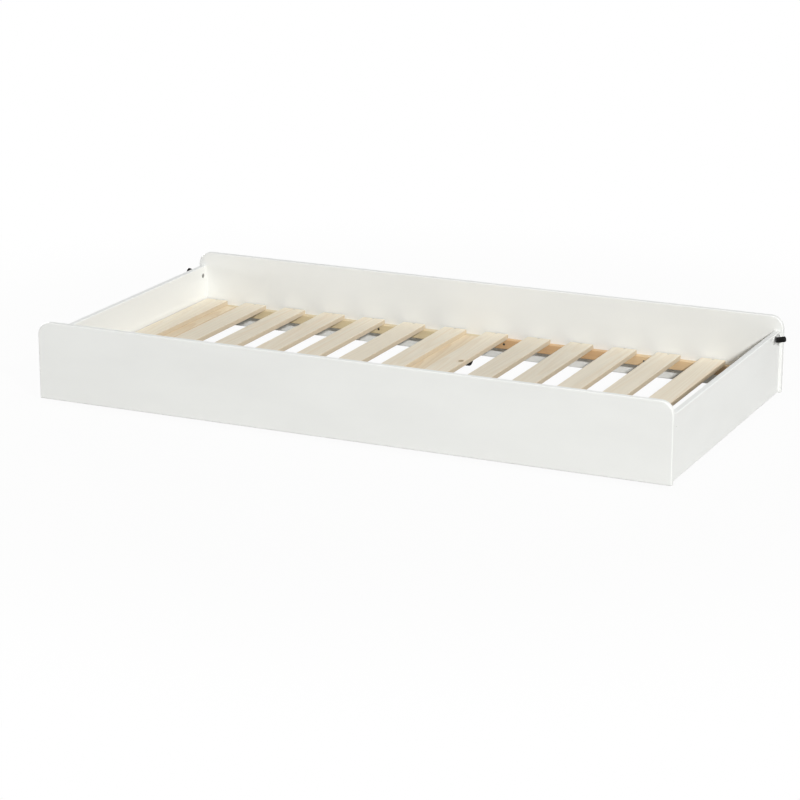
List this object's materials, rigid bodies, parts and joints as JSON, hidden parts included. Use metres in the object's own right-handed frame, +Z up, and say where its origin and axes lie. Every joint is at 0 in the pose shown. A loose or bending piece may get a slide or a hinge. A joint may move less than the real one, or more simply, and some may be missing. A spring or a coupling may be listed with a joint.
{
  "type": "trundle bed",
  "caption": "Low open trundle bed on fixed casters: a white board box with rounded front and back panels, a pine slat deck for a mattress, and stop pegs on the ends.",
  "frame": {"origin": "on the floor, under the middle of the bed", "axes": "+X along the bed towards its right end, +Y from the front board to the back board, +Z up"},
  "size_m": [2.0148, 1, 0.248],
  "materials": {
    "white_lacquer": "satin white lacquer on board",
    "pine": "planed untreated pine",
    "frame_pine": "planed untreated pine",
    "beech": "fluted beech dowel",
    "zinc_steel": "bright zinc plate",
    "cam_zinc": "die-cast zinc",
    "black_steel": "black powder coat",
    "black_plastic": "moulded black plastic",
    "black_rubber": "moulded black rubber"
  },
  "bodies": {
    "bed_frame": {"front_panel": "white_lacquer", "back_panel": "white_lacquer", "left_end_panel": "white_lacquer", "right_end_panel": "white_lacquer", "slat_01": "pine", "slat_02": "pine", "slat_03": "pine", "slat_04": "pine", "slat_05": "pine", "slat_06": "pine", "slat_07": "pine", "slat_08": "pine", "slat_09": "pine", "slat_10": "pine", "slat_11": "pine", "slat_12": "pine", "slat_13": "pine", "slat_14": "pine", "front_ledger": "frame_pine", "back_ledger": "frame_pine", "left_cross_beam": "frame_pine", "middle_cross_beam": "frame_pine", "right_cross_beam": "frame_pine", "front_left_caster_fork": "black_steel", "front_left_caster_axle": "zinc_steel", "front_middle_caster_fork": "black_steel", "front_middle_caster_axle": "zinc_steel", "front_right_caster_fork": "black_steel", "front_right_caster_axle": "zinc_steel", "back_left_caster_fork": "black_steel", "back_left_caster_axle": "zinc_steel", "back_middle_caster_fork": "black_steel", "back_middle_caster_axle": "zinc_steel", "back_right_caster_fork": "black_steel", "back_right_caster_axle": "zinc_steel", "left_stop_flange": "zinc_steel", "left_stop_peg": "black_rubber", "right_stop_flange": "zinc_steel", "right_stop_peg": "black_rubber", "cam_locks": "cam_zinc", "cam_bolts": "zinc_steel", "corner_dowels": "beech", "slat_screws": "zinc_steel", "ledger_screws": "black_steel", "beam_screws": "zinc_steel", "caster_screws": "zinc_steel", "stop_screws": "black_steel"},
    "front_left_wheel": {"front_left_caster_wheel": "black_plastic"},
    "front_middle_wheel": {"front_middle_caster_wheel": "black_plastic"},
    "front_right_wheel": {"front_right_caster_wheel": "black_plastic"},
    "back_left_wheel": {"back_left_caster_wheel": "black_plastic"},
    "back_middle_wheel": {"back_middle_caster_wheel": "black_plastic"},
    "back_right_wheel": {"back_right_caster_wheel": "black_plastic"}
  },
  "joints": [
    {"name": "front_left_wheel_roll", "type": "hinge", "parent": "bed_frame", "child": "front_left_wheel", "pos_m": [-0.903, -0.408, 0.025], "axis": [1, 0, 0], "continuous": true},
    {"name": "front_middle_wheel_roll", "type": "hinge", "parent": "bed_frame", "child": "front_middle_wheel", "pos_m": [0, -0.408, 0.025], "axis": [1, 0, 0], "continuous": true},
    {"name": "front_right_wheel_roll", "type": "hinge", "parent": "bed_frame", "child": "front_right_wheel", "pos_m": [0.903, -0.408, 0.025], "axis": [1, 0, 0], "continuous": true},
    {"name": "back_left_wheel_roll", "type": "hinge", "parent": "bed_frame", "child": "back_left_wheel", "pos_m": [-0.903, 0.408, 0.025], "axis": [1, 0, 0], "continuous": true},
    {"name": "back_middle_wheel_roll", "type": "hinge", "parent": "bed_frame", "child": "back_middle_wheel", "pos_m": [0, 0.408, 0.025], "axis": [1, 0, 0], "continuous": true},
    {"name": "back_right_wheel_roll", "type": "hinge", "parent": "bed_frame", "child": "back_right_wheel", "pos_m": [0.903, 0.408, 0.025], "axis": [1, 0, 0], "continuous": true}
  ]
}
